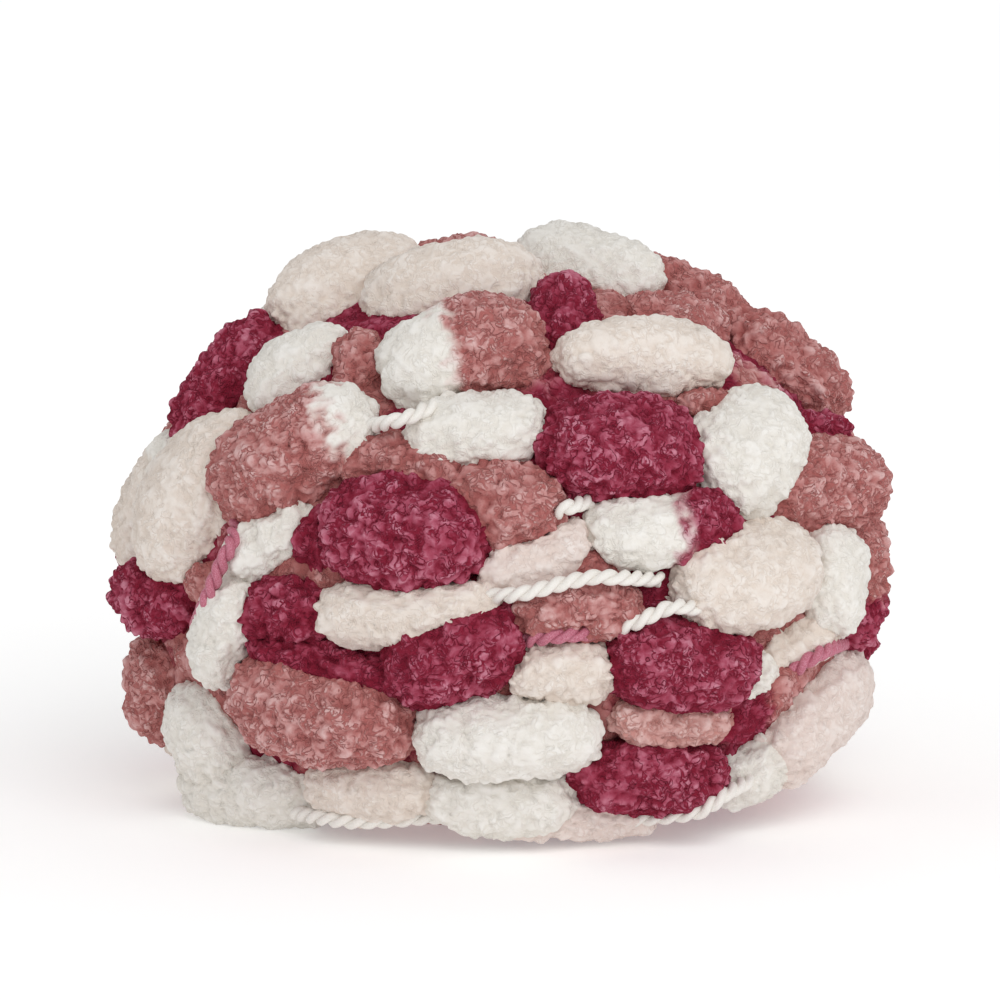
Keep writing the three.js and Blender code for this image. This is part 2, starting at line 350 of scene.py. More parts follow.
@dataclass
class Pompom:
    """One pompom: a plump superellipsoid of pile round the strand, in millimetres.

    A few soft lobes make it uneven. Its two dyes meet at `change` and mix over `bleed`, as shares of its
    length.
    """

    centre: Vector
    axis: Vector
    outward: Vector
    length: float
    girth: float
    index: int
    dye: Dye
    second: Dye | None
    change: float
    squareness: float = 2.5
    fullness: float = 1.06
    uneven: float = 0.06
    lobes_along: float = 3
    lobes_around: float = 2
    bleed: float = 0.12
    divisions: int = 4
    basis: np.ndarray = field(init=False)
    half: np.ndarray = field(init=False)
    phase: float = field(init=False)

    def __post_init__(self) -> None:
        """Works out the pompom's own directions, half sizes and phase."""
        side = self.axis.cross(self.outward).normalized()
        crown = side.cross(self.axis).normalized()
        self.basis = np.array([side, self.axis, crown])
        half = self.girth / 2 * self.fullness
        self.half = np.array([half, self.length / 2, half])
        self.phase = 2 * math.pi * ((self.index * GOLDEN + FIRST_SHARE) % 1)

    def to_local(self, points: np.ndarray) -> np.ndarray:
        """Points in the pompom's own directions, with its half sizes as one."""
        return (points - np.array(self.centre)) @ self.basis.T / self.half

    def swell(self, local: np.ndarray) -> np.ndarray:
        """How much fuller the pompom is than its girth says, round it and along it."""
        turn = self.lobes_along * local[:, 1] + self.lobes_around * np.arctan2(local[:, 0], local[:, 2])
        return 1 + self.uneven * np.sin(turn + self.phase)

    def distance(self, local: np.ndarray) -> np.ndarray:
        """The superellipsoid's own measure: 1 on the surface, less inside."""
        across = np.hypot(local[:, 0], local[:, 2]) / self.swell(local)
        power = self.squareness
        return (across ** power + np.abs(local[:, 1]) ** power) ** (1 / power)

    def gap(self, points: np.ndarray) -> np.ndarray:
        """How far points lie outside the pompom, or less than nothing inside it."""
        return (self.distance(self.to_local(points)) - 1) * self.half[0]

    def is_within(self, low: np.ndarray, high: np.ndarray) -> bool:
        """True if the pompom may reach into the box between two corners."""
        reach = self.half.max() * (1 + self.uneven)
        middle = np.array(self.centre)
        return bool((middle > low - reach).all() and (middle < high + reach).all())

    def skin(self, directions: np.ndarray) -> tuple[np.ndarray, np.ndarray]:
        """The pompom's skin.

        Args:
            directions: Points of a unit sphere.

        Returns:
            The point of the skin for each, and the outward direction there.
        """
        local = directions / self.distance(directions)[:, None]
        power = self.squareness - 1
        radius = np.maximum(np.hypot(local[:, 0], local[:, 2]), TINY)
        steep = np.stack([
            radius ** (power - 1) * local[:, 0],
            np.sign(local[:, 1]) * np.abs(local[:, 1]) ** power,
            radius ** (power - 1) * local[:, 2],
        ], axis=1) / self.half
        outward = steep @ self.basis
        outward /= np.linalg.norm(outward, axis=1, keepdims=True)
        return (local * self.half) @ self.basis + np.array(self.centre), outward

    def second_share(self, points: np.ndarray, stray: np.ndarray) -> np.ndarray:
        """Share of the second dye at each point, which bleeds over a short stretch.

        Args:
            points: Places on the pompom.
            stray: How far each place strays from an even border, from -1 to 1.

        Returns:
            A share from 0 to 1 for each point.
        """
        if self.second is None:
            return np.zeros(len(points))
        along = (self.to_local(points)[:, 1] + 1) / 2
        return np.clip((along - self.change) / self.bleed + stray + 0.5, 0, 1)


@dataclass
class PackedYarn:
    """The yarn that is packed under the pompoms and shows deep between them, in millimetres.

    It lies `depth` inside the wound form. Below `foot` it tucks in, by the share `tuck` at the floor. Its
    two dyes lie in patches.
    """

    depth: float = 9.5
    foot: float = 14
    tuck: float = 0.3
    lowest: float = 0.1
    dye: Dye = Dye.RASPBERRY
    second: Dye = Dye.ROSE
    divisions: int = 5
    patch: float = 26
    patch_contrast: float = 4

    def sizes(self, is_upper: np.ndarray) -> np.ndarray:
        """Half sizes of its form, for points of the ball's upper or lower half."""
        upper, lower = (np.array(FORM.sizes(self.depth, half)) for half in (True, False))
        return np.where(is_upper, upper, lower)

    def skin(self, directions: np.ndarray) -> tuple[np.ndarray, np.ndarray]:
        """Its skin: the wound form, so much deeper, tucked in at its foot and flat where it rests.

        Args:
            directions: Points of a unit sphere.

        Returns:
            The point of the skin for each, and the outward direction there.
        """
        sizes = self.sizes(directions[:, 2:] >= 0)
        outward = directions / sizes
        outward /= np.linalg.norm(outward, axis=1, keepdims=True)
        points = directions * sizes + np.array(FORM.heart)
        low = np.clip(1 - points[:, 2:] / self.foot, 0, 1)
        points[:, :2] *= 1 - self.tuck * low
        points[:, 2] = np.maximum(points[:, 2], self.lowest)
        return points, outward

    def gap(self, points: np.ndarray) -> np.ndarray:
        """How far points lie outside it, or less than nothing inside."""
        local = points - np.array(FORM.heart)
        sizes = self.sizes(local[:, 2:] >= 0)
        return (np.linalg.norm(local / sizes, axis=1) - 1) * sizes[:, 1]

    def is_within(self, low: np.ndarray, high: np.ndarray) -> bool:
        """True: it lies under every pompom."""
        return True

    def second_share(self, points: np.ndarray, stray: np.ndarray) -> np.ndarray:
        """Share of the second dye at each point: stretches of both lie side by side."""
        waves = [noise.noise(place) for place in (points / self.patch).tolist()]
        return np.clip(np.array(waves) * self.patch_contrast + stray + 0.5, 0, 1)


Lump = Pompom | PackedYarn


def listed_pompom(row: ListedPompom, index: int, is_back: bool) -> Pompom:
    """Seats a pompom of the front's list on the form, or the same one half a turn on.

    Args:
        row: The listed pompom.
        index: Its number, which sets its unevenness.
        is_back: True for the one at the back.

    Returns:
        The pompom in the ball's frame.
    """
    depth = row.girth / 2 - row.proud
    look = VIEWPOINT.look_through(row.across * (BACK_NARROWING if is_back else 1), row.up)
    point = FORM.seat(VIEWPOINT, look, depth)
    outward = FORM.outward(point, depth)
    nearness = (point - VIEWPOINT.eye).length / VIEWPOINT.distance
    angle = math.radians(row.tilt)
    run = Vector((math.cos(angle), 0, 0)) + VIEWPOINT.up * math.sin(angle)
    turn = -run.dot(outward) / min(look.dot(outward), -LEAST_SLANT)
    axis = run + look * max(-STEEPEST_TURN, min(STEEPEST_TURN, turn))
    length = min(row.length * nearness * axis.length, LONGEST_POMPOM)
    axis.normalize()
    dyes = (row.dye, row.second)
    if is_back:
        point, outward, axis = (Vector((-v.x, -v.y, v.z)) for v in (point, outward, axis))
        dyes = tuple(DYE_AT_BACK.get(dye) for dye in dyes)
    return Pompom(point, axis, outward, length, row.girth * nearness, index, *dyes, row.change)


def rest_pompom(row: RestPompom, index: int) -> Pompom:
    """Seats a pompom of the rest's list where its row says round the ball.

    Args:
        row: The listed pompom.
        index: Its number, which sets its unevenness.

    Returns:
        The pompom in the ball's frame.
    """
    heading = math.radians(row.around)
    slope = (row.up - FORM.widest_at) / (FORM.above if row.up >= FORM.widest_at else FORM.below)
    level = math.sqrt(1 - slope ** 2)
    crown = Vector((
        FORM.half_width * level * math.sin(heading),
        -FORM.half_depth * level * math.cos(heading),
        row.up,
    ))
    outward = FORM.outward(crown, 0)
    centre = crown + outward * (row.proud - row.girth / 2)
    level_run = Vector((0, 0, 1)).cross(outward).normalized()
    climb = outward.cross(level_run)
    angle = math.radians(row.tilt)
    axis = level_run * math.cos(angle) + climb * math.sin(angle)
    return Pompom(centre, axis, outward, row.length, row.girth, index, row.dye, row.second, row.change)


def new_object(name: str, mesh: bpy.types.Mesh) -> bpy.types.Object:
    """Links a mesh to the scene as a smooth object at the origin."""
    mesh.shade_smooth()
    obj = bpy.data.objects.new(name, mesh)
    bpy.context.scene.collection.objects.link(obj)
    return obj


def add_node(tree: bpy.types.NodeTree, kind: str, links: dict | None = None, **settings) -> bpy.types.Node:
    """Adds a node with its settings and links.

    Args:
        tree: The node tree.
        kind: The node's type.
        links: What each input takes: an output socket to link, or a value.
        **settings: Values for the node's own properties.

    Returns:
        The new node.
    """
    node = tree.nodes.new(kind)
    for name, value in settings.items():
        setattr(node, name, value)
    for name, value in (links or {}).items():
        if isinstance(value, bpy.types.NodeSocket):
            tree.links.new(value, node.inputs[name])
        else:
            node.inputs[name].default_value = value
    return node


# The colour attribute holds each point's dye, and as alpha the pile's height, which sets the painted shade.
DYE_AND_SHADE_ATTRIBUTE = "dye"


@dataclass(frozen=True)
class PlushFinish:
    """Polyester pile, cut and steamed into crinkled curls: matt, with a soft sheen at grazing angles.

    Light that sinks between the curls is dyed again and again, so they look darker there. This is painted
    shade:
    a gamma that darkens the tip's colour between the curls and in their folds, and hardly changes white. How
    dark a dye is shows in its green.
    """

    name: str = "Plush polyester pile, space dyed"
    roughness: float = 0.95
    sheen: float = 0.08
    sheen_roughness: float = 0.5
    painted_shade_gamma: float = 1.7
    dark_green: float = 0.4
    pale_green: float = 0.75
    pale_share: float = 0.45
    crinkle: float = 0.8
    octaves: float = 2.0
    fold_mm: tuple[float, float] = (2.1, 3.2)
    fold_share: float = 0.075
    fold_depth: float = 0.9
    break_size: float = 2
    break_octaves: float = 1.0
    break_range: tuple[float, float] = (0.45, 0.56)
    crumple_mm: float = 1.5
    crumple_share: float = 0.7
    fibre_mm: float = 0.4
    fibre_share: float = 0.5
    bump_mm: float = 0.38

    def material(self) -> bpy.types.Material:
        """Builds the material: the dye of each curl, darkened by painted shade in its folds and between
        curls, with fine fibres.
        """
        material = bpy.data.materials.new(self.name)
        material.use_nodes = True
        tree = material.node_tree
        shader = tree.nodes["Principled BSDF"]
        place = add_node(tree, "ShaderNodeTexCoord").outputs["Object"]
        dye = add_node(tree, "ShaderNodeVertexColor", layer_name=DYE_AND_SHADE_ATTRIBUTE)
        folds = add_node(tree, "ShaderNodeMath", {
            index: self.folds(tree, place, size) for index, size in enumerate(self.fold_mm)
        }, operation="MULTIPLY").outputs["Value"]
        crumple = self.noise(tree, place, self.crumple_mm)
        # The pile's height, lower in the folds, and the crumples set how deep the painted shade is.
        height = add_node(tree, "ShaderNodeMath", {
            0: dye.outputs["Alpha"], 1: folds,
        }, operation="MULTIPLY").outputs["Value"]
        shade_height = add_node(tree, "ShaderNodeMath", {
            0: crumple, 1: self.crumple_share, 2: height,
        }, operation="MULTIPLY_ADD").outputs["Value"]
        # Painted shade: the lower the pile, the larger the gamma that darkens the dye.
        depth = add_node(tree, "ShaderNodeMapRange", {
            "Value": shade_height, "From Min": self.crumple_share / 2, "From Max": 1 + self.crumple_share / 2,
            "To Min": self.painted_shade_gamma, "To Max": 0.0,
        }).outputs["Result"]
        darkness = self.darkness(tree, dye.outputs["Color"])
        gamma = add_node(tree, "ShaderNodeMath", {
            0: depth, 1: darkness, 2: 1.0,
        }, operation="MULTIPLY_ADD").outputs["Value"]
        # The dye with its painted shade between the curls.
        deep = add_node(tree, "ShaderNodeGamma", {"Color": dye.outputs["Color"], "Gamma": gamma})
        tree.links.new(deep.outputs["Color"], shader.inputs["Base Color"])
        relief = add_node(tree, "ShaderNodeMath", {0: crumple, 1: folds}, operation="ADD").outputs["Value"]
        tree.links.new(self.fibres(tree, place, darkness, relief), shader.inputs["Normal"])
        tree.links.new(dye.outputs["Color"], shader.inputs["Sheen Tint"])
        shader.inputs["Roughness"].default_value = self.roughness
        shader.inputs["Sheen Weight"].default_value = self.sheen
        shader.inputs["Sheen Roughness"].default_value = self.sheen_roughness
        shader.inputs["Specular IOR Level"].default_value = 0.0
        return material

    def darkness(self, tree: bpy.types.NodeTree, dye: bpy.types.NodeSocket) -> bpy.types.NodeSocket:
        """1 for the dark dyes, less for the pale ones, on which the painted shade of the folds and the
        fibres hardly show.
        """
        green = add_node(tree, "ShaderNodeSeparateColor", {"Color": dye}).outputs["Green"]
        return add_node(tree, "ShaderNodeMapRange", {
            "Value": green, "From Min": self.dark_green, "From Max": self.pale_green,
            "To Min": 1.0, "To Max": self.pale_share,
        }).outputs["Result"]

    def noise(self, tree: bpy.types.NodeTree, place: bpy.types.NodeSocket,
              size_mm: float) -> bpy.types.NodeSocket:
        """A noise of the given size, from 0 to 1, crinkled by its own distortion."""
        return add_node(tree, "ShaderNodeTexNoise", {
            "Vector": place, "Scale": 1 / (size_mm * MM), "Detail": self.octaves, "Distortion": self.crinkle,
        }).outputs["Fac"]

    def folds(self, tree: bpy.types.NodeTree, place: bpy.types.NodeSocket,
              size_mm: float) -> bpy.types.NodeSocket:
        """Short folds between the curls, sunk in the bump and darkened by painted shade: lines where a noise
        is at its middle, broken by another.

        Args:
            tree: The node tree.
            place: Object coordinates.
            size_mm: How far apart the folds lie.

        Returns:
            1 on the curls, less in a fold.
        """
        away = add_node(tree, "ShaderNodeMath", {
            0: self.noise(tree, place, size_mm), 1: 0.5,
        }, operation="SUBTRACT").outputs["Value"]
        near = add_node(tree, "ShaderNodeMath", {0: away}, operation="ABSOLUTE").outputs["Value"]
        line = add_node(tree, "ShaderNodeMapRange", {
            "Value": near, "From Max": self.fold_share, "To Min": 1 - self.fold_depth,
        }, interpolation_type="SMOOTHSTEP").outputs["Result"]
        broken = add_node(tree, "ShaderNodeTexNoise", {
            "Vector": place, "Scale": 1 / (self.break_size * size_mm * MM), "Detail": self.break_octaves,
        }).outputs["Fac"]
        whole = add_node(tree, "ShaderNodeMapRange", {
            "Value": broken, "From Min": self.break_range[0], "From Max": self.break_range[1],
        }).outputs["Result"]
        return add_node(tree, "ShaderNodeMath", {0: line, 1: whole}, operation="MAXIMUM").outputs["Value"]

    def fibres(self, tree: bpy.types.NodeTree, place: bpy.types.NodeSocket, strength: bpy.types.NodeSocket,
               relief: bpy.types.NodeSocket) -> bpy.types.NodeSocket:
        """Relief finer than the mesh: the folds and the fibres.

        Args:
            tree: The node tree.
            place: Object coordinates.
            strength: How strongly they show, from 0 to 1.
            relief: The height of the curls and folds.

        Returns:
            The normal.
        """
        fibre = self.noise(tree, place, self.fibre_mm)
        height = add_node(tree, "ShaderNodeMath", {
            0: fibre, 1: self.fibre_share, 2: relief,
        }, operation="MULTIPLY_ADD").outputs["Value"]
        return add_node(tree, "ShaderNodeBump", {
            "Height": height, "Distance": self.bump_mm * MM, "Strength": strength,
        }).outputs["Normal"]


@dataclass
class Curls:
    """Curls of the pile: rounded grains scattered evenly through space, each lying its own way.

    A skin that runs through them rises over the nearest ones and dips between them. Sizes in millimetres.
    """

    spacing: float
    stretch: float
    seed: int
    unevenness: float = 0.25
    kinds: int = 4096
    primes: tuple[int, int, int] = (73856093, 19349663, 83492791)
    jitter: np.ndarray = field(init=False)
    lie: np.ndarray = field(init=False)
    lift: np.ndarray = field(init=False)

    def __post_init__(self) -> None:
        """Draws where each kind of curl sits in its cell, how it lies and how high it stands."""
        rng = np.random.default_rng(self.seed)
        self.jitter = rng.random((self.kinds, 3)).astype(np.float32)
        lie = rng.normal(0, 1, (self.kinds, 3))
        self.lie = (lie / np.linalg.norm(lie, axis=1, keepdims=True)).astype(np.float32)
        self.lift = rng.uniform(-self.unevenness, self.unevenness, self.kinds).astype(np.float32)

    def kind(self, cell: np.ndarray) -> np.ndarray:
        """The kind of curl in each cell, mixed from its three numbers."""
        mixed = cell * np.array(self.primes)
        return (mixed[:, 0] ^ mixed[:, 1] ^ mixed[:, 2]) % self.kinds

    def height(self, points: np.ndarray) -> np.ndarray:
        """How high the curls stand at each point.

        Args:
            points: Places, in millimetres.

        Returns:
            The height, about 0 between the curls and 1 on them.
        """
        scaled = points / self.spacing
        cell = np.floor(scaled).astype(np.int64)
        inside = (scaled - cell).astype(np.float32)
        best = np.full(len(points), -1.0, np.float32)
        for offset in itertools.product((-1, 0, 1), repeat=3):
            kind = self.kind(cell + offset)
            away = inside - np.array(offset, np.float32) - self.jitter[kind]
            along = (away * self.lie[kind]).sum(axis=1)
            square = (away ** 2).sum(axis=1) - along ** 2 * (1 - self.stretch ** -2)
            best = np.maximum(best, 1 - square + self.lift[kind])
        return best


@dataclass
class PileGroup:
    """Lumps of yarn that share a piece, each a skin of crinkled pile. Sizes in millimetres.

    Lobes and curls lift the skin where they stand above their mean, and their height also sets the painted
    shade, from 0 for the darkest, deep in the pile, to 1 for the tips. `bend` crinkles them. Within about
    `crease` of the next lump the painted shade is deeper, as shade falls in the crease, and within about
    `rim` the curls of pale pompoms stand higher. Where a skin runs on inside another lump it sinks, so that
    the two part cleanly. What is `buried` deeper, or `under` the floor, stays coarse. `stray` roughens the
    border between two dyes.
    """

    name: str
    lumps: list
    neighbours: list
    finest: float
    lobes: Curls = field(default_factory=lambda: Curls(spacing=4.6, stretch=1.5, seed=SEED))
    curls: Curls = field(default_factory=lambda: Curls(spacing=1.9, stretch=2.2, seed=SEED + 1))
    lobe_rise: float = 2.5
    curl_rise: float = 2.8
    mean: float = 0.84
    shade_level: float = 0.62
    lobe_shade: float = 0.6
    curl_shade: float = 1.2
    bend: float = 0.9
    bend_length: float = 3.2
    stray: float = 0.8
    reach: float = 12.0
    crease: float = 2.5
    crease_shade: float = 0.5
    rim: float = 6.0
    rim_relief: float = 0.9
    buried: float = 2.0
    sinking: float = 0.4
    under: float = 1.0
    floor: float = 0.1

    def build(self, material: bpy.types.Material) -> bpy.types.Object:
        """Builds the piece.

        Args:
            material: The pile's finish.

        Returns:
            The finished piece.
        """
        parts = [self.dressed(lump) for lump in self.lumps]
        starts = np.cumsum([0] + [len(part[0]) for part in parts])
        points, outward, evenness, colours = (np.concatenate([part[i] for part in parts]) for i in range(4))
        triangles = np.concatenate([part[4] + start for part, start in zip(parts, starts)])
        points[:, 2] = np.maximum(points[:, 2], self.floor)
        mesh = bpy.data.meshes.new(self.name)
        mesh.from_pydata((points * MM).tolist(), [], triangles.tolist())
        # The dye colours, with the pile's height for the painted shade as alpha.
        dyes = mesh.color_attributes.new(DYE_AND_SHADE_ATTRIBUTE, "FLOAT_COLOR", "POINT")
        dyes.data.foreach_set("color", colours.astype(np.float32).ravel())
        mesh.materials.append(material)
        piece = new_object(self.name, mesh)
        even_out(mesh, outward, evenness)
        log.info("%s: %d lumps, %d triangles", self.name, len(self.lumps), len(triangles))
        return piece

    def gap_to_others(self, points: np.ndarray, lump: Lump) -> np.ndarray:
        """How far points of a lump lie outside every other lump, or less than nothing inside one.

        Args:
            points: Places on the lump.
            lump: The lump itself.

        Returns:
            The smallest gap for each point, no more than the reach of a crease.
        """
        low, high = points.min(axis=0) - self.reach, points.max(axis=0) + self.reach
        gap = np.full(len(points), self.reach)
        for other in self.neighbours:
            if other is not lump and other.is_within(low, high):
                gap = np.minimum(gap, other.gap(points))
        return gap

    def divided_sphere(self, lump: Lump) -> tuple[np.ndarray, np.ndarray]:
        """A sphere that is finely divided only where the lump shows.

        Args:
            lump: The lump that will be pulled from it.

        Returns:
            The directions of its corners, and its triangles.
        """
        bm = bmesh.new()
        bmesh.ops.create_icosphere(bm, subdivisions=lump.divisions, radius=1)
        places, _ = lump.skin(np.array([vert.co[:] for vert in bm.verts]))
        shows = (self.gap_to_others(places, lump) > -self.buried) & (places[:, 2] > -self.under)
        edges = [edge for edge in bm.edges
                 if any(shows[vert.index] for face in edge.link_faces for vert in face.verts)]
        if edges:
            ends = np.array([[vert.index for vert in edge.verts] for edge in edges])
            longest = np.linalg.norm(places[ends[:, 0]] - places[ends[:, 1]], axis=1).mean()
            cuts = max(1, round(longest / self.finest) - 1)
            bmesh.ops.subdivide_edges(bm, edges=edges, cuts=cuts, use_grid_fill=True)
        bmesh.ops.triangulate(bm, faces=bm.faces[:])
        mesh = bpy.data.meshes.new("divided")
        bm.to_mesh(mesh)
        bm.free()
        corners = np.empty(len(mesh.vertices) * 3, np.float32)
        mesh.vertices.foreach_get("co", corners)
        triangles = np.empty(len(mesh.loops), np.int32)
        mesh.loops.foreach_get("vertex_index", triangles)
        bpy.data.meshes.remove(mesh)
        directions = corners.reshape(-1, 3).astype(float)
        return directions / np.linalg.norm(directions, axis=1, keepdims=True), triangles.reshape(-1, 3)

    def dressed(self, lump: Lump) -> tuple:
        """One lump with its pile.

        Args:
            lump: The lump.

        Returns:
            Corners, outward directions, evenness, colours with the pile's height for the painted shade as
            alpha, and triangles.
        """
        directions, triangles = self.divided_sphere(lump)
        points, outward = lump.skin(directions)
        bend = np.array([noise.noise_vector(place)[:] for place in (points / self.bend_length).tolist()])
        bent = points + bend * self.bend
        lobe = self.lobes.height(bent) - self.mean
        curl = self.curls.height(bent) - self.mean
        share = lump.second_share(points, (bend[:, 0] + curl) * self.stray)
        first, second = LOOKS[lump.dye], LOOKS[lump.second or lump.dye]
        relief = first.relief * (1 - share) + second.relief * share
        evenness = first.evenness * (1 - share) + second.evenness * share
        gap = self.gap_to_others(points, lump)
        sink = np.clip(-gap, 0, self.buried) * self.sinking
        gap = np.maximum(gap, 0)
        rim = np.exp(-gap / self.rim)
        relief += (1 - relief) * rim * self.rim_relief
        evenness *= 1 - rim ** 2
        rise = (self.lobe_rise * lobe + self.curl_rise * curl) * relief - sink
        points = points + outward * rise[:, None]
        # Painted shade: the height, which darkens the dye where low, drops between curls and lobes and near
        # a crease.
        crease = np.exp(-gap / self.crease)
        height = np.clip(
            self.shade_level + self.lobe_shade * lobe + self.curl_shade * curl - self.crease_shade * crease, 0, 1,
        )
        tips = [np.array(linear(look.tip)) for look in (first, second)]
        tip = tips[0] * (1 - share)[:, None] + tips[1] * share[:, None]
        return points, outward, evenness, np.concatenate([tip, height[:, None]], axis=1), triangles


def even_out(mesh: bpy.types.Mesh, outward: np.ndarray, evenness: np.ndarray) -> None:
    """Turns the mesh's normals part of the way outwards, as light that scatters in pile evens its shading.

    Args:
        mesh: The mesh.
        outward: The outward direction at each corner.
        evenness: How far each normal turns, from 0 to 1.
    """
    normals = np.empty(len(mesh.vertices) * 3, np.float32)
    mesh.vertices.foreach_get("normal", normals)
    mixed = normals.reshape(-1, 3) * (1 - evenness)[:, None] + outward * evenness[:, None]
    mixed /= np.linalg.norm(mixed, axis=1, keepdims=True)
    custom = mesh.attributes.new("custom_normal", "FLOAT_VECTOR", "POINT")
    custom.data.foreach_set("vector", mixed.astype(np.float32).ravel())


@dataclass
class WoundPompoms:
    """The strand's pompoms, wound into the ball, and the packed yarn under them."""

    upper_from: float = 72
    top_from: float = 112
    front_finest: float = 0.62
    other_finest: float = 0.76
    packed_finest: float = 1.5

    def seat_all(self) -> dict[str, list]:
        """Seats every pompom and sorts them into named groups.

        Returns:
            The lumps of each group.
        """
        groups = {}
        for index, row in enumerate(FRONT_POMPOMS):
            level = "upper" if row.up >= self.upper_from else "lower"
            side = "right" if row.across >= 0 else "left"
            name = f"pompoms_front_{level}_{side}"
            groups.setdefault(name, []).append(listed_pompom(row, index, False))
            if abs(row.across) <= BACK_ACROSS and row.up <= BACK_UP:
                number = index + len(FRONT_POMPOMS)
                groups.setdefault(f"pompoms_back_{level}", []).append(listed_pompom(row, number, True))
        for index, row in enumerate(REST_POMPOMS):
            place = "top" if row.up > self.top_from else "sides"
            groups.setdefault(f"pompoms_{place}", []).append(rest_pompom(row, index))
        groups["packed_yarn"] = [PackedYarn()]
        return groups

    def finest(self, name: str) -> float:
        """How long the shortest edges of a group are."""
        if name == "packed_yarn":
            return self.packed_finest
        return self.front_finest if name.startswith("pompoms_front") else self.other_finest

    def build(self, material: bpy.types.Material) -> list[bpy.types.Object]:
        """Builds a piece for each group.

        Args:
            material: The pile's finish.

        Returns:
            The pieces.
        """
        groups = self.seat_all()
        everyone = [lump for group in groups.values() for lump in group]
        return [PileGroup(name, group, everyone, self.finest(name)).build(material)
                for name, group in groups.items()]


class CordStretch(NamedTuple):
    """A stretch of link cord that shows: how proud it lies, its dye, and its points across and up."""

    proud: float
    dye: Dye
    points: tuple


LINK_CORDS = [
    CordStretch(2, W, ((-33, 98.5), (-28, 99.5), (-23, 101), (-14, 105))),
    CordStretch(-1, W, ((10, 77), (15, 79), (20, 80.5))),
    CordStretch(0, W, ((-6, 57.5), (3, 58), (13, 60.5), (20, 62), (27, 62), (37, 61.5))),
    CordStretch(0, W, ((24, 48.5), (32, 51.5), (37, 54), (42, 55), (50, 53.5))),
    CordStretch(-2, P, ((64, 35), (71, 41), (78, 45), (83, 47))),
    CordStretch(2, W, ((29, 3.5), (46, 5.5), (52, 9.5), (62, 15))),
    CordStretch(-1, P, ((-65, 76), (-66.5, 70), (-69, 65), (-73, 55), (-75, 50))),
    CordStretch(-1, W, ((-56, 7), (-47, 4.5), (-35, 3.2), (-16, 4.5))),
    CordStretch(-2, P, ((2, 46.5), (9, 47.5), (16, 48.3), (24, 49))),
]


@dataclass
class LinkCords:
    """The thin cord that links the pompoms: two plies twisted together, in millimetres."""

    thickness: float = 3.8
    ply: float = 2.1
    pitch: float = 7.8
    dip: float = 6
    steps_per_turn: int = 14
    bevel_resolution: int = 2

    def route(self, stretch: CordStretch) -> np.ndarray:
        """Points along the middle of a stretch, evenly spaced."""
        places = []
        for index, (across, up) in enumerate(stretch.points):
            is_end = index in (0, len(stretch.points) - 1)
            depth = self.thickness / 2 - stretch.proud + (self.dip if is_end else 0)
            place = FORM.seat(VIEWPOINT, VIEWPOINT.look_through(across, up), depth)
            place.z = max(place.z, self.thickness)
            places.append(place)
        return smooth_route(places, self.pitch / self.steps_per_turn)

    def build(self, material_for: dict) -> list:
        """Builds each stretch as two helical plies.

        Args:
            material_for: The finish for each dye.

        Returns:
            The pieces.
        """
        pieces = []
        for number, stretch in enumerate(LINK_CORDS):
            route = self.route(stretch)
            curve = bpy.data.curves.new(f"link_cord_{number + 1}", "CURVE")
            curve.dimensions = "3D"
            curve.bevel_depth = self.ply / 2 * MM
            curve.bevel_resolution = self.bevel_resolution
            curve.use_fill_caps = True
            for ply in range(2):
                points = self.helix(route, ply * math.pi)
                spline = curve.splines.new("POLY")
                spline.points.add(len(points) - 1)
                flat = np.concatenate([points * MM, np.ones((len(points), 1))], axis=1)
                spline.points.foreach_set("co", flat.astype(np.float32).ravel())
            pieces.append(mesh_of_curve(curve, material_for[stretch.dye]))
            log.info("%s: %d points", pieces[-1].name, len(route))
        return pieces

    def helix(self, route: np.ndarray, start: float) -> np.ndarray:
        """The middle line of one ply, winding round the route."""
        along = np.gradient(route, axis=0)
        along /= np.linalg.norm(along, axis=1, keepdims=True)
        outward = np.array([FORM.outward(Vector(point), 0)[:] for point in route])
        side = np.cross(along, outward)
        side /= np.linalg.norm(side, axis=1, keepdims=True)
        high = np.cross(side, along)
        angle = (np.arange(len(route)) * 2 * math.pi / self.steps_per_turn + start)[:, None]
        radius = (self.thickness - self.ply) / 2
        return route + (side * np.cos(angle) + high * np.sin(angle)) * radius


def smooth_route(places: list, step: float, samples: int = 40) -> np.ndarray:
    """A smooth line through places, in even steps.

    Args:
        places: The points that it passes.
        step: The distance between its points.
        samples: How many points are worked out from one place to the next before they are evened out.

    Returns:
        The points of the line.
    """
    knots = np.array([place[:] for place in places])
    ends = np.concatenate([[2 * knots[0] - knots[1]], knots, [2 * knots[-1] - knots[-2]]])
    fine = []
    for a, b, c, d in zip(ends, ends[1:], ends[2:], ends[3:]):
        t = np.linspace(0, 1, samples, endpoint=False)[:, None]
        fine.append(0.5 * (2 * b + (c - a) * t + (2 * a - 5 * b + 4 * c - d) * t ** 2
                           + (3 * b - a - 3 * c + d) * t ** 3))
    fine = np.concatenate(fine + [knots[-1:]])
    lengths = np.concatenate([[0], np.cumsum(np.linalg.norm(np.diff(fine, axis=0), axis=1))])
    at = np.arange(0, lengths[-1], step)
    return np.stack([np.interp(at, lengths, fine[:, i]) for i in range(3)], axis=1)


def mesh_of_curve(curve: bpy.types.Curve, material: bpy.types.Material) -> bpy.types.Object:
    """Turns a curve into a mesh object at the origin.

    Args:
        curve: The curve, in metres.
        material: Its finish.

    Returns:
        The mesh object.
    """
    holder = bpy.data.objects.new(curve.name, curve)
    bpy.context.scene.collection.objects.link(holder)
    graph = bpy.context.evaluated_depsgraph_get()
    mesh = bpy.data.meshes.new_from_object(holder.evaluated_get(graph))
    bpy.data.objects.remove(holder)
    mesh.materials.clear()
    mesh.materials.append(material)
    name = curve.name
    bpy.data.curves.remove(curve)
    return new_object(name, mesh)


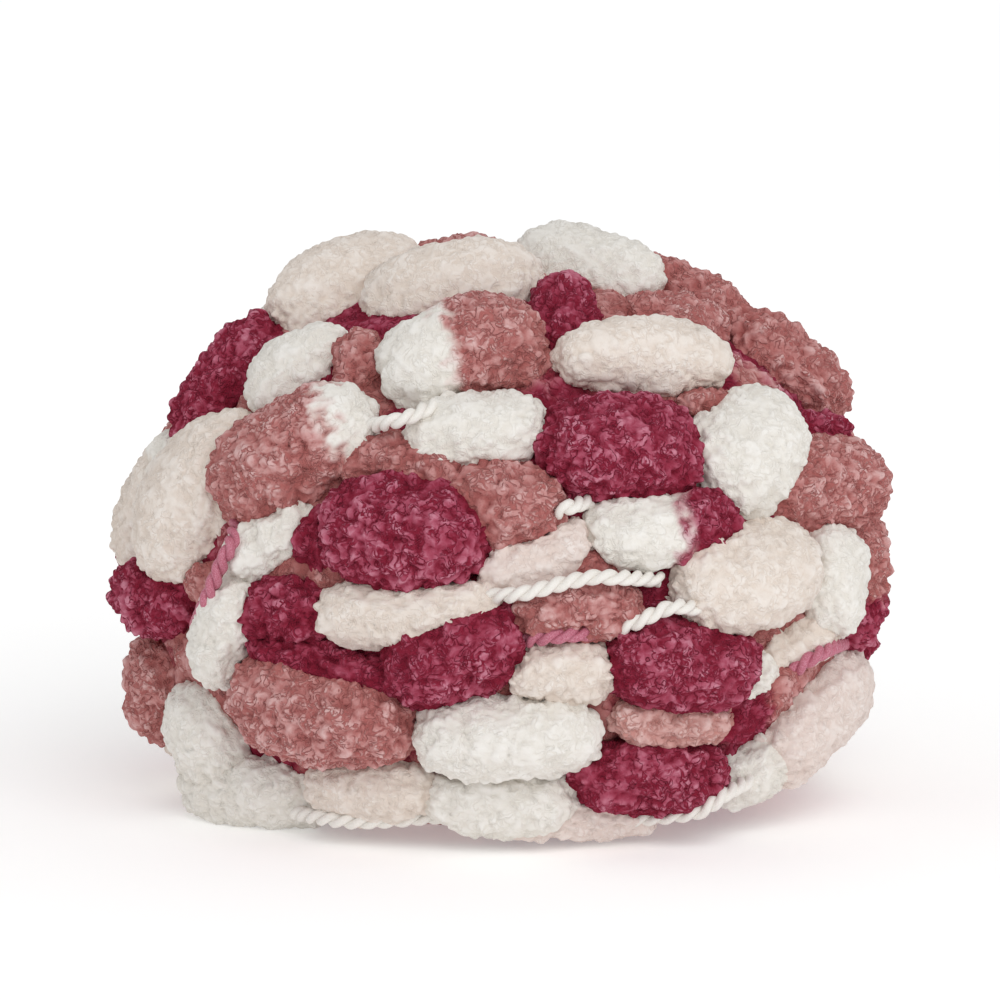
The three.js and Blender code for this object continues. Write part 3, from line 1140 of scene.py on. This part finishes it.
@dataclass(frozen=True)
class CordFinish:
    """Twisted polyester cord: smooth filaments that give it a soft satin gloss.

    Between the filaments the tip's colour is darkened by painted shade, and on them it is a little lighter,
    by a gamma.
    """

    dye: Dye
    roughness: float = 0.55
    filament_mm: float = 0.3
    octaves: float = 2.0
    filament_range: tuple[float, float] = (0.3, 0.7)
    # Gammas of the painted shade between the filaments, and on them.
    between: float = 1.6
    on_filament: float = 0.9
    bump_mm: float = 0.1
    bump_strength: float = 0.5

    def material(self) -> bpy.types.Material:
        """Builds the material, with fine filaments."""
        material = bpy.data.materials.new(f"Twisted polyester cord, {self.dye.value}")
        material.use_nodes = True
        tree = material.node_tree
        shader = tree.nodes["Principled BSDF"]
        place = add_node(tree, "ShaderNodeTexCoord").outputs["Object"]
        filament = add_node(tree, "ShaderNodeTexNoise", {
            "Vector": place, "Scale": 1 / (self.filament_mm * MM), "Detail": self.octaves,
        }).outputs["Fac"]
        # Painted shade: a gamma from the filament noise darkens the colour between the filaments.
        gamma = add_node(tree, "ShaderNodeMapRange", {
            "Value": filament, "From Min": self.filament_range[0], "From Max": self.filament_range[1],
            "To Min": self.between, "To Max": self.on_filament,
        }).outputs["Result"]
        colour = add_node(tree, "ShaderNodeGamma", {
            "Color": (*linear(LOOKS[self.dye].tip), 1), "Gamma": gamma,
        }).outputs["Color"]
        tree.links.new(colour, shader.inputs["Base Color"])
        bump = add_node(tree, "ShaderNodeBump", {
            "Height": filament, "Distance": self.bump_mm * MM, "Strength": self.bump_strength,
        })
        tree.links.new(bump.outputs["Normal"], shader.inputs["Normal"])
        shader.inputs["Roughness"].default_value = self.roughness
        return material


@dataclass
class Studio:
    """A white table, plain soft light and the camera at the viewpoint of the list, in metres.

    The camera sees the table over-exposed by a glow. It weakens from `far` to `near`, so that the ball's
    shadow shows, and the ball gets only the bounce. The sensor is in millimetres.
    """

    floor_size: float = 40
    floor_white: float = 0.95
    floor_roughness: float = 0.9
    sky: float = 0.62
    glow: float = 0.42
    near_glow: float = 0.26
    near: float = 0.15
    far: float = 0.6
    bounce: float = 0.24
    key: float = 11
    key_place: tuple[float, float, float] = (0.5, -1.3, 1.1)
    key_size: float = 1.4
    sensor: float = 36
    sight: float = 100

    def build(self) -> None:
        """Builds the stage."""
        self.floor()
        self.light()
        self.camera()

    def floor(self) -> None:
        """A plain white floor that the camera sees a little over-exposed."""
        bm = bmesh.new()
        bmesh.ops.create_grid(bm, x_segments=1, y_segments=1, size=self.floor_size / 2)
        mesh = bpy.data.meshes.new("floor")
        bm.to_mesh(mesh)
        bm.free()
        floor = new_object("floor", mesh)
        material = bpy.data.materials.new("White table")
        material.use_nodes = True
        tree = material.node_tree
        shader = tree.nodes["Principled BSDF"]
        shader.inputs["Base Color"].default_value = (*[self.floor_white] * 3, 1)
        shader.inputs["Roughness"].default_value = self.floor_roughness
        shader.inputs["Specular IOR Level"].default_value = 0.0
        shader.inputs["Emission Color"].default_value = (1, 1, 1, 1)
        seen = add_node(tree, "ShaderNodeLightPath").outputs["Is Camera Ray"]
        place = add_node(tree, "ShaderNodeTexCoord").outputs["Object"]
        away = add_node(tree, "ShaderNodeVectorMath", {0: place}, operation="LENGTH").outputs["Value"]
        glow = add_node(tree, "ShaderNodeMapRange", {
            "Value": away, "From Min": self.near, "From Max": self.far,
            "To Min": self.near_glow, "To Max": self.glow,
        }).outputs["Result"]
        strength = add_node(tree, "ShaderNodeMapRange", {
            "Value": seen, "To Min": self.bounce, "To Max": glow,
        }).outputs["Result"]
        tree.links.new(strength, shader.inputs["Emission Strength"])
        floor.data.materials.append(material)

    def light(self) -> None:
        """An even white surround, and a soft key light above the camera."""
        world = bpy.data.worlds.new("Soft surround")
        world.use_nodes = True
        background = world.node_tree.nodes["Background"]
        background.inputs["Color"].default_value = (1, 1, 1, 1)
        background.inputs["Strength"].default_value = self.sky
        bpy.context.scene.world = world
        self.softbox("key", Vector(self.key_place), self.key_size, self.key)

    def softbox(self, name: str, place: Vector, size: float, power: float) -> None:
        """A square area light that faces the ball.

        Args:
            name: Its name.
            place: Where it hangs, in metres.
            size: Its side, in metres.
            power: Its power, in watts.
        """
        data = bpy.data.lights.new(name, "AREA")
        data.size = size
        data.energy = power
        light = bpy.data.objects.new(name, data)
        light.location = place
        light.rotation_euler = (FORM.heart * MM - place).to_track_quat("-Z", "Y").to_euler()
        bpy.context.scene.collection.objects.link(light)

    def camera(self) -> None:
        """The camera at the viewpoint."""
        data = bpy.data.cameras.new("camera")
        data.sensor_width = self.sensor
        data.lens = self.sensor * VIEWPOINT.distance / VIEWPOINT.picture_width
        data.clip_end = self.sight
        camera = bpy.data.objects.new("camera", data)
        camera.location = VIEWPOINT.eye * MM
        camera.rotation_euler = VIEWPOINT.forward.to_track_quat("-Z", "Y").to_euler()
        bpy.context.scene.collection.objects.link(camera)
        bpy.context.scene.camera = camera
        bpy.context.scene.view_settings.view_transform = "Standard"


def main() -> None:
    """Builds the stage and the ball, and binds every piece to the frame."""
    logging.basicConfig(level=logging.INFO, format="%(name)s: %(message)s")
    # Noise vectors are drawn from the clock unless they have a seed.
    noise.seed_set(SEED)
    Studio().build()
    pieces = WoundPompoms().build(PlushFinish().material())
    cord_finishes = {dye: CordFinish(dye).material() for dye in dict.fromkeys(c.dye for c in LINK_CORDS)}
    pieces += LinkCords().build(cord_finishes)
    for piece in pieces:
        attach(piece, BODY)
        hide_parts(NODE)


if __name__ == "__main__":
    main()
